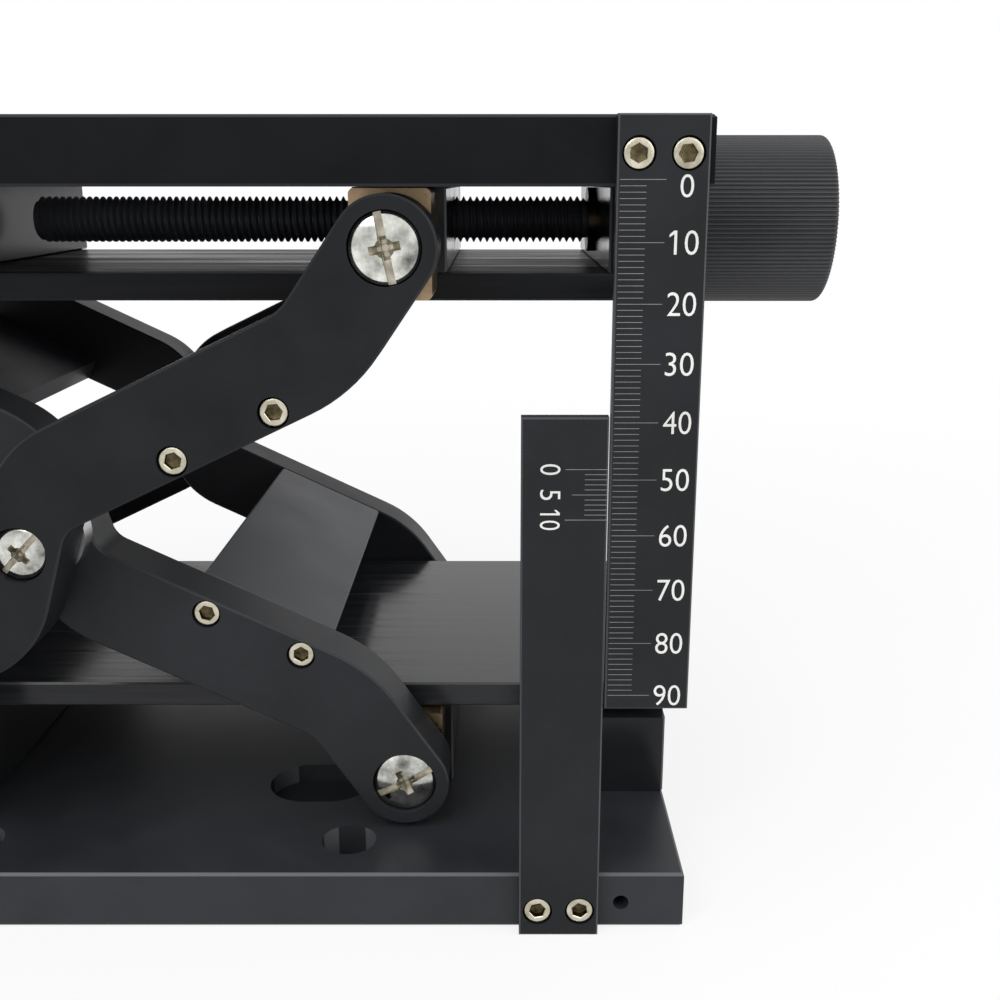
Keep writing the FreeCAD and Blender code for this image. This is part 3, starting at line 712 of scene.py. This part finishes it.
leadThread = {
    "radius": 5.0, "depth": 0.92, "pitch": 1.5, "columns": 48, "journal": 4.0,
    "chamfer": 1.0, "chamferSlope": 1.2,
    "shoulderGap": 1.7,  # from the thread's end to the bearing block
    "root": (0.0, 0.125), "crest": (0.4375, 0.5625), "nextRoot": 0.875,  # shares of a pitch
    "endLength": 0.01, "endDrop": 0.3,  # the faint cone on the free end
    "centre": 0.1,
}


def buildLeadScrew():
    look = leadThread
    low, high = boxOf("lead_screw")
    y, z = (low[1] + high[1]) / 2, (low[2] + high[2]) / 2
    bearingLow = boxOf("bearing_block")[0]
    tipX, shoulderX = low[0], bearingLow[0] - look["shoulderGap"]
    pitch, top = look["pitch"], look["radius"]
    root = top - look["depth"]
    profile = [(share, root) for share in look["root"]]
    profile += [(share, top) for share in look["crest"]]
    profile.append((look["nextRoot"], root))
    columns = look["columns"]
    turns = int((shoulderX - tipX) / pitch) + 2
    verts, faces = [], []
    rows = []
    for turn in range(-1, turns):
        for share, radius in profile:
            row = []
            for column in range(columns + 1):
                angle = 2 * math.pi * column / columns
                x = tipX + pitch * (turn + share + column / columns)
                x = min(max(x, tipX), shoulderX)
                inward = min(x - tipX, shoulderX - x)
                limit = top - look["chamfer"] + inward * look["chamferSlope"]
                r = min(radius, limit)
                row.append(len(verts))
                verts.append((x, y + r * math.cos(angle), z + r * math.sin(angle)))
            rows.append(row)
    for row in range(len(rows) - 1):
        for column in range(columns):
            a, b = rows[row], rows[row + 1]
            faces.append((a[column], a[column + 1], b[column + 1], b[column]))

    def disc(x, radius):
        ring = []
        for column in range(columns):
            angle = 2 * math.pi * column / columns
            ring.append((x, y + radius * math.cos(angle), z + radius * math.sin(angle)))
        return ring

    endRadius = top - look["chamfer"]
    cap = lathe([
        disc(tipX, endRadius),
        disc(tipX - look["endLength"], endRadius - look["endDrop"])], columns, closeStart=False)
    tail = lathe([
        disc(shoulderX, look["centre"]), disc(shoulderX, endRadius),
        disc(shoulderX, look["journal"]), disc(high[0], look["journal"])], columns)
    verts, faces = joined([(verts, faces), cap, tail])
    piece = makePiece("lead_screw_thread", verts, faces, "screwBlack", "black_steel", "drive",
                      smooth=25.0)
    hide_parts("lead_screw")


buildLeadScrew()
print("lead screw done")


# knob

knobLook = {
    "teeth": 120, "depth": 0.34,
    "toothAt": (0.06, 0.36, 0.64, 0.94),  # where a tooth's four points lie, as shares of its step
    "toothRise": (0.0, 1.0, 1.0, 0.0),  # root, crest, crest, root
    "round": 1.0, "roundSteps": 5, "bore": 4.2,
    "dish": 1.5, "dishRadius": 11.6, "dishEdge": 0.5, "dishSlope": 0.2, "centre": 0.5,
}


def buildKnob():
    look = knobLook
    low, high = boxOf("knob")
    y, z = (low[1] + high[1]) / 2, (low[2] + high[2]) / 2
    radius = (high[2] - low[2]) / 2
    places, rises = look["toothAt"], look["toothRise"]
    count = look["teeth"] * len(places)

    def ring(x, r, knurl):
        points = []
        for i in range(count):
            tooth, part = divmod(i, len(places))
            angle = 2 * math.pi * (tooth + places[part]) / look["teeth"]
            rr = r - look["depth"] * knurl * (1 - rises[part])
            points.append((x, y + rr * math.cos(angle), z + rr * math.sin(angle)))
        return points

    def roundedEnd(x, way):
        # rings of a rounded edge, from the end face at x inward
        found = []
        for i in range(look["roundSteps"] + 1):
            turn = math.pi / 2 * i / look["roundSteps"]
            drop = look["round"] * (1 - math.sin(turn))
            along = look["round"] * (1 - math.cos(turn))
            found.append(ring(x + way * along, radius - drop, 1.0))
        return found

    dishX = high[0] - look["dish"]
    rings = [ring(low[0], look["bore"], 0)]
    rings += roundedEnd(low[0], 1) + roundedEnd(high[0], -1)[::-1]
    rings.append(ring(high[0], look["dishRadius"] + look["dishEdge"], 0))
    rings.append(ring(high[0] - look["dishEdge"], look["dishRadius"], 0))
    rings.append(ring(dishX, look["dishRadius"] - look["dishSlope"], 0))
    rings.append(ring(dishX, look["centre"], 0))
    verts, faces = lathe(rings, count, closeStart=False)
    piece = makePiece("knurled_knob", verts, faces, "knobBlack", "knob", "drive", smooth=28.0)
    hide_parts("knob")


buildKnob()
print("knob done")


# scale marks and numbers

rulerLook = {
    "zeroDrop": 10.25,  # mark 0 below the platform's top
    "start": 0.5, "long": 7.5, "short": 4.3, "count": 90, "numberEach": 10,
    "line": 0.085, "lift": 0.015,
    "numberHeight": 3.95, "numberWidth": 4.8, "numberX": 8.8,
    "zeroHeight": 3.65, "zeroWidth": 2.2, "zeroX": 10.3, "zeroDown": 1.0,
}
vernierLook = {
    "long": 7.25, "middle": 6.1, "short": 3.9, "step": 0.9, "line": 0.1, "lift": 0.015,
    "start": 0.1, "count": 10, "reading": 48.15,  # where the vernier's zero stands on the ruler
    "numberHeight": 3.5, "numberX": 3.3, "numberWidths": {0: 1.9, 5: 1.8, 10: 3.6},
}
# the stroke at the top of the one is in shares of the font's size
numberLook = {
    "resolution": 4, "thinner": -0.006,
    "strokeReach": 0.15, "strokeTip": (0.12, 0.20), "strokeRoot": 0.10,
}


def markQuad(x0, x1, z, line, y):
    low, high = z - line / 2, z + line / 2
    return [(x0, y, low), (x1, y, low), (x1, y, high), (x0, y, high)], [(0, 1, 2, 3)]


def numberMesh(text, height, width):
    # the outline of a number as a flat mesh in mm, left edge at 0 and middle at 0
    look = numberLook
    curve = bpy.data.curves.new("number" + text, "FONT")
    curve.body = text
    curve.size = 1.0
    curve.resolution_u = look["resolution"]
    curve.offset = look["thinner"]
    thing = bpy.data.objects.new("number" + text, curve)
    bpy.context.scene.collection.objects.link(thing)
    bpy.context.view_layer.update()
    mesh = thing.evaluated_get(bpy.context.evaluated_depsgraph_get()).to_mesh()
    outline = [(v.co.x, v.co.y) for v in mesh.vertices]
    faces = [tuple(p.vertices) for p in mesh.polygons]
    bpy.data.objects.remove(thing)
    top = max(y for x, y in outline)
    if text[0] == "1":
        edge, start = min(x for x, y in outline), len(outline)
        tipX, (tipTop, tipLow) = edge - look["strokeReach"], look["strokeTip"]
        outline += [(edge, top), (tipX, top - tipTop)]
        outline += [(tipX, top - tipLow), (edge, top - look["strokeRoot"])]
        faces.append((start, start + 1, start + 2, start + 3))
    left, right = min(x for x, y in outline), max(x for x, y in outline)
    bottom = min(y for x, y in outline)
    tall, broad = height / (top - bottom), width / (right - left)
    points = [((x - left) * broad, (y - (top + bottom) / 2) * tall) for x, y in outline]
    return points, faces


def buildRulerMarks():
    look = rulerLook
    low, high = boxOf("ruler")
    y = low[1] - look["lift"]
    zero = high[2] - look["zeroDrop"]
    left = low[0] + look["start"]
    marks, parts = [], []
    for i in range(look["count"] + 1):
        length = look["long"] if i % look["numberEach"] == 0 else look["short"]
        marks.append(markQuad(left, left + length, zero - i, look["line"], y))
    points, faces = numberMesh("0", look["zeroHeight"], look["zeroWidth"])
    x, z = low[0] + look["zeroX"], zero - look["zeroDown"]
    parts.append(([(x + a, y, z + b) for a, b in points], faces))
    for i in range(look["numberEach"], look["count"] + 1, look["numberEach"]):
        points, faces = numberMesh(str(i), look["numberHeight"], look["numberWidth"])
        x = low[0] + look["numberX"]
        parts.append(([(x + a, y, zero - i + b) for a, b in points], faces))
    makePiece("ruler_marks", *joined(marks), "markGrey", "scales", "platform")
    makePiece("ruler_numbers", *joined(parts), "numberWhite", "scales", "platform")
    return zero


def buildVernierMarks(rulerZero):
    look = vernierLook
    zero = rulerZero - look["reading"]
    low, high = boxOf("vernier_plate")
    y = low[1] - look["lift"]
    right = high[0] - look["start"]
    lengths = {0: look["long"], 5: look["middle"], 10: look["long"]}
    marks, parts = [], []
    for i in range(look["count"] + 1):
        length = lengths.get(i, look["short"])
        marks.append(markQuad(right - length, right, zero - i * look["step"], look["line"], y))
    for i, widest in look["numberWidths"].items():
        points, faces = numberMesh(str(i), look["numberHeight"], widest)
        x = low[0] + look["numberX"] + look["numberHeight"] / 2
        z = zero - i * look["step"]
        # turned a quarter clockwise, read from the right
        parts.append(([(x + b, y, z + widest / 2 - a) for a, b in points], faces))
    makePiece("vernier_marks", *joined(marks), "markGrey", "scales", "base")
    makePiece("vernier_numbers", *joined(parts), "numberWhite", "scales", "base")


buildVernierMarks(buildRulerMarks())
print("scales done")


# room, lamps and camera

photo = {
    "focalPixels": 1211.0, "pixels": 1000, "sensor": 36.0,
    "pitch": 14.8,  # degrees down
    "eye": (67.8, -280.3, 139.5),
    "nearest": 0.01, "farthest": 50.0,  # metres
}
studio = {
    "world": 0.85, "backdrop": (1.0, 1.0, 1.0),
    "floorSize": 6000.0, "floorColor": (0.8, 0.8, 0.8, 1.0),
    "floorGlow": 0.8,  # beside the stage, and 1 far off
    "glowReach": (150.0, 550.0), "holeMargin": 1.0,
    "aim": (0.0, 0.0, 75.0),
    "lamps": {
        "keyLamp": {"place": (-260.0, -520.0, 560.0), "size": 500.0, "power": 2.6},
        "fillLamp": {"place": (420.0, -260.0, 320.0), "size": 420.0, "power": 1.1},
    },
}


def seenRays(tree):
    # 1 for what the camera sees, straight or through a reflection or clear material
    path = addNode(tree, "ShaderNodeLightPath")
    direct = mathNode(tree, "MAXIMUM", path.outputs["Is Camera Ray"], path.outputs["Is Glossy Ray"])
    return mathNode(tree, "MAXIMUM", direct, path.outputs["Is Transmission Ray"])


def floorGlow(tree, look):
    # how much the floor glows: 0 under the base plate, where its holes show, and less beside it than
    # far off
    high = boxOf("base_plate")[1]
    place = addNode(tree, "ShaderNodeTexCoord")
    split = addNode(tree, "ShaderNodeSeparateXYZ")
    tree.links.new(place.outputs["Object"], split.inputs[0])
    beyond = []
    for axis, edge in (("X", high[0]), ("Y", high[1])):
        reach = mathNode(tree, "ABSOLUTE", split.outputs[axis])
        beyond.append(mathNode(tree, "GREATER_THAN", reach, (edge - look["holeMargin"]) * mm))
    distance = addNode(tree, "ShaderNodeVectorMath", operation="LENGTH")
    tree.links.new(place.outputs["Object"], distance.inputs[0])
    near, far = [limit * mm for limit in look["glowReach"]]
    spread = rangeNode(tree, distance.outputs["Value"], near, far, look["floorGlow"], 1.0)
    return mathNode(tree, "MULTIPLY", mathNode(tree, "MAXIMUM", *beyond), spread)


def makeFloorPaint(look):
    # white where it is seen, dimmed a little by the stage's shadow, and plain grey for the light
    material = bpy.data.materials.new("paleFloor")
    material.use_nodes = True
    tree = material.node_tree
    tree.nodes.remove(tree.nodes["Principled BSDF"])
    output = tree.nodes["Material Output"]
    glow = addNode(tree, "ShaderNodeEmission", {"Color": (*look["backdrop"], 1.0), "Strength": 1.0})
    plain = addNode(tree, "ShaderNodeBsdfDiffuse", {"Color": look["floorColor"]})
    mix = addNode(tree, "ShaderNodeMixShader")
    tree.links.new(mathNode(tree, "MULTIPLY", seenRays(tree), floorGlow(tree, look)), mix.inputs[0])
    tree.links.new(plain.outputs[0], mix.inputs[1])
    tree.links.new(glow.outputs[0], mix.inputs[2])
    tree.links.new(mix.outputs[0], output.inputs["Surface"])
    return material


def makeRoom():
    look = studio
    half = look["floorSize"] / 2
    verts = [(-half, -half, 0), (half, -half, 0), (half, half, 0), (-half, half, 0)]
    mesh = bpy.data.meshes.new("floor")
    mesh.from_pydata([tuple(c * mm for c in v) for v in verts], [], [(0, 1, 2, 3)])
    floor = bpy.data.objects.new("floor", mesh)
    bpy.context.scene.collection.objects.link(floor)
    mesh.materials.append(makeFloorPaint(look))
    world = bpy.data.worlds.new("room")
    bpy.context.scene.world = world
    world.use_nodes = True
    tree = world.node_tree
    back = tree.nodes["Background"]
    strength = rangeNode(tree, seenRays(tree), 0.0, 1.0, look["world"], 1.0)
    back.inputs["Color"].default_value = (*look["backdrop"], 1.0)
    tree.links.new(strength, back.inputs["Strength"])


def addLamp(name, look):
    data = bpy.data.lights.new(name, "AREA")
    data.shape = "SQUARE"
    data.size = look["size"] * mm
    data.energy = look["power"]
    lamp = bpy.data.objects.new(name, data)
    bpy.context.scene.collection.objects.link(lamp)
    lamp.location = [c * mm for c in look["place"]]
    aim = Vector([c * mm for c in studio["aim"]]) - lamp.location
    lamp.rotation_euler = aim.to_track_quat("-Z", "Y").to_euler()


def makeCamera():
    look = photo
    data = bpy.data.cameras.new("camera")
    data.sensor_width = look["sensor"]
    data.lens = look["focalPixels"] * look["sensor"] / look["pixels"]
    data.clip_start = look["nearest"]
    data.clip_end = look["farthest"]
    camera = bpy.data.objects.new("camera", data)
    bpy.context.scene.collection.objects.link(camera)
    camera.location = [c * mm for c in look["eye"]]
    camera.rotation_euler = (math.radians(90 - look["pitch"]), 0, 0)
    bpy.context.scene.camera = camera


makeRoom()
for name, look in studio["lamps"].items():
    addLamp(name, look)
makeCamera()
bpy.context.scene.view_settings.view_transform = "Standard"
print("room, lamps and camera done")
